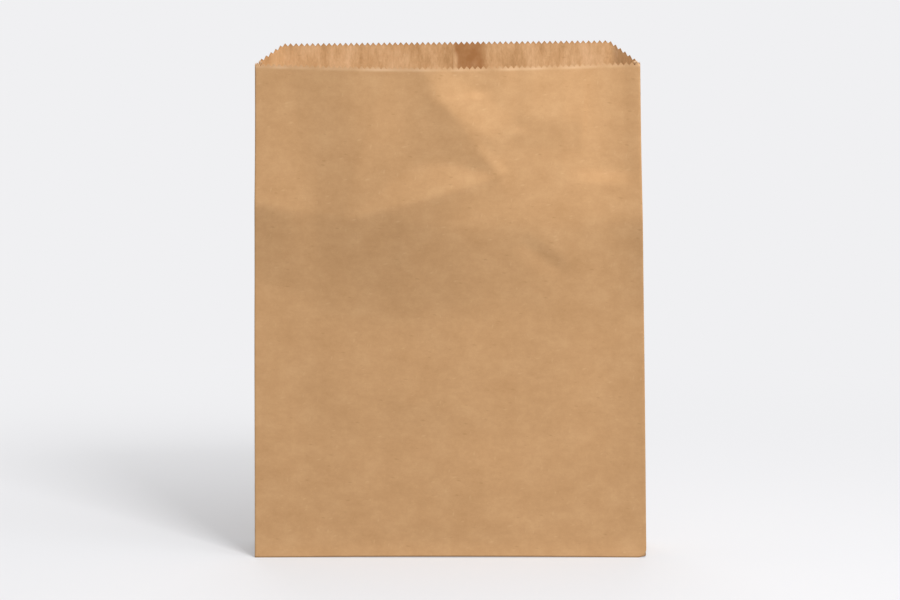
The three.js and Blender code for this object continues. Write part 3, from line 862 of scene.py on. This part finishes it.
# the lap is painted darker in blotches: painted shade of the double layer
lap_shaded_tone = add_node(lap_shade_tree, "ShaderNodeMixRGB", {"Color2": linear(LAP_SHADE_BROWN)},
                      {"Fac": lap_shade_amount.outputs["Value"], "Color1": unshaded_tone.outputs["Color"]})
lap_shade_tree.links.new(lap_shaded_tone.outputs["Color"], lap_shade_tree.nodes["Principled BSDF"].inputs["Base Color"])
bag_mesh.materials.append(inner_side)
print("materials:", [material.name for material in bag_mesh.materials])

# %% [markdown]
# ## The floor
# A photographer stands such a bag on a white sweep that has no visible end. A bent sheet could be modelled,
# but one large flat plane does, because its material can fade it into the background.

# %% Floor
FLOOR_REACH = 20.0

floor_mesh = bpy.data.meshes.new("floor")
floor_shape = bmesh.new()
bmesh.ops.create_grid(floor_shape, x_segments=1, y_segments=1, size=FLOOR_REACH)
floor_shape.to_mesh(floor_mesh)
floor_shape.free()
floor = bpy.data.objects.new("floor", floor_mesh)
bpy.context.scene.collection.objects.link(floor)
print("floor:", 2 * FLOOR_REACH, "m wide")

# %% [markdown]
# ## What is seen and what only gives light
# A white floor throws so much light up at the bag that its creases are washed out. A photographer would put
# black card beside it. In Blender the Light Path node does the same work: it tells a surface whether it is
# being seen or is only lighting something else.

# %% Seen rays
def seen_rays(tree):
    """1 for rays that show the surface to the eye, directly, in a reflection or through glass."""
    rays = add_node(tree, "ShaderNodeLightPath", {}, {})
    mirrored = add_node(tree, "ShaderNodeMath", {"operation": "ADD"},
                        {0: rays.outputs["Is Glossy Ray"], 1: rays.outputs["Is Transmission Ray"]})
    seen = add_node(tree, "ShaderNodeMath", {"operation": "ADD", "use_clamp": True},
                    {0: rays.outputs["Is Camera Ray"], 1: mirrored.outputs["Value"]})
    return seen.outputs["Value"]


print("seen rays: camera, glossy and transmission")

# %% [markdown]
# ## White studio paper
# The sweep is matt white paper. Close to the bag it takes the shadow. Far away it fades into a plain glow
# of the background's colour. Only what is seen gets the glow and the pale tone: for the light that bounces
# up to the bag the floor is a mid grey.

# %% Studio floor material
BACKGROUND = "#F0F0F2"
FLOOR_SEEN, FLOOR_BOUNCE = "#DEDEE0", "#8C8C8E"
FADE_START, FADE_END = 0.28, 1.05
FLOOR_GLOW = 0.365

studio_floor = bpy.data.materials.new("white studio floor")
studio_floor.use_nodes = True
floor_tree = studio_floor.node_tree
floor_shader = floor_tree.nodes["Principled BSDF"]
floor_shader.inputs["Roughness"].default_value = 0.9
floor_shader.inputs["Specular IOR Level"].default_value = 0.1
floor_seen = seen_rays(floor_tree)
floor_place = add_node(floor_tree, "ShaderNodeTexCoord", {}, {})
from_bag = add_node(floor_tree, "ShaderNodeVectorMath", {"operation": "LENGTH"},
                    {"Vector": floor_place.outputs["Object"]})
fade = add_node(floor_tree, "ShaderNodeMapRange", {
    "From Min": FADE_START, "From Max": FADE_END, "To Min": FLOOR_GLOW, "interpolation_type": "SMOOTHSTEP",
}, {"Value": from_bag.outputs["Value"]})
glowing = add_node(floor_tree, "ShaderNodeMath", {"operation": "MULTIPLY"},
                   {0: fade.outputs["Result"], 1: floor_seen})
floor_tone = add_node(floor_tree, "ShaderNodeMixRGB", {
    "Color1": linear(FLOOR_BOUNCE), "Color2": linear(FLOOR_SEEN),
}, {"Fac": floor_seen})
floor_tree.links.new(floor_tone.outputs["Color"], floor_shader.inputs["Base Color"])
glow = add_node(floor_tree, "ShaderNodeEmission", {"Color": linear(BACKGROUND)}, {})
floor_mix = add_node(floor_tree, "ShaderNodeMixShader", {}, {
    "Fac": glowing.outputs["Value"], 1: floor_shader.outputs["BSDF"], 2: glow.outputs["Emission"],
})
floor_tree.links.new(floor_mix.outputs["Shader"], floor_tree.nodes["Material Output"].inputs["Surface"])
floor_mesh.materials.append(studio_floor)
print("floor fades into its glow from", FADE_START, "to", FADE_END, "m")

# %% [markdown]
# ## The world
# The walls of a studio send back a little light from all sides. The world gives that weak even light, and
# shows the background's colour where it is seen.

# %% World
AMBIENT = 0.2

world = bpy.data.worlds.new("studio")
bpy.context.scene.world = world
world.use_nodes = True
world_tree = world.node_tree
world_glow = world_tree.nodes["Background"]
world_glow.inputs["Color"].default_value = linear(BACKGROUND)
world_strength = add_node(world_tree, "ShaderNodeMapRange", {"To Min": AMBIENT, "To Max": 1.0},
                          {"Value": seen_rays(world_tree)})
world_tree.links.new(world_strength.outputs["Result"], world_glow.inputs["Strength"])
print("even light:", AMBIENT)

# %% [markdown]
# ## The lamps
# The shadow tells us where the light was: it falls to the back left, so the main light stands to the front
# and the right. It is the smallest lamp for its distance, so that its shadow has an edge. A broad, high
# light beside it keeps the whole panel even, and one overhead looks into the mouth. A low light behind the
# bag changes the picture very little, but shows the back panel when we walk round.

# %% Lamps
BAG_MIDDLE = Vector((0.0, 0.0, 0.2))


def softbox(name, direction, distance, size, power):
    """A square area lamp in a direction from the bag's middle, looking at that middle."""
    data = bpy.data.lights.new(name, "AREA")
    data.shape = "SQUARE"
    data.size = size
    data.energy = power
    lamp = bpy.data.objects.new(name, data)
    lamp.location = BAG_MIDDLE + Vector(direction).normalized() * distance
    lamp.rotation_euler = (BAG_MIDDLE - lamp.location).to_track_quat("-Z", "Y").to_euler()
    bpy.context.scene.collection.objects.link(lamp)
    print(name, "stands at", [round(place, 2) for place in lamp.location])


softbox("side light", (0.335, -0.735, 0.589), 4.0, 1.07, 132.5)
softbox("front light", (0.32, -0.38, 0.868), 2.4, 1.6, 24.8)
softbox("top light", (0.0, 0.25, 0.97), 1.7, 1.4, 6.0)
softbox("back light", (-0.05, 0.75, 0.35), 2.6, 1.6, 23.0)

# %% [markdown]
# ## Finish
# The view transform Standard shows the colours as they are written. Then the bag is tied to the frame: it
# rides on the one body, and the solid bag that it stands for is hidden.

bpy.context.scene.view_settings.view_transform = "Standard"
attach(bag, "root")
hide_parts("paper_bag")
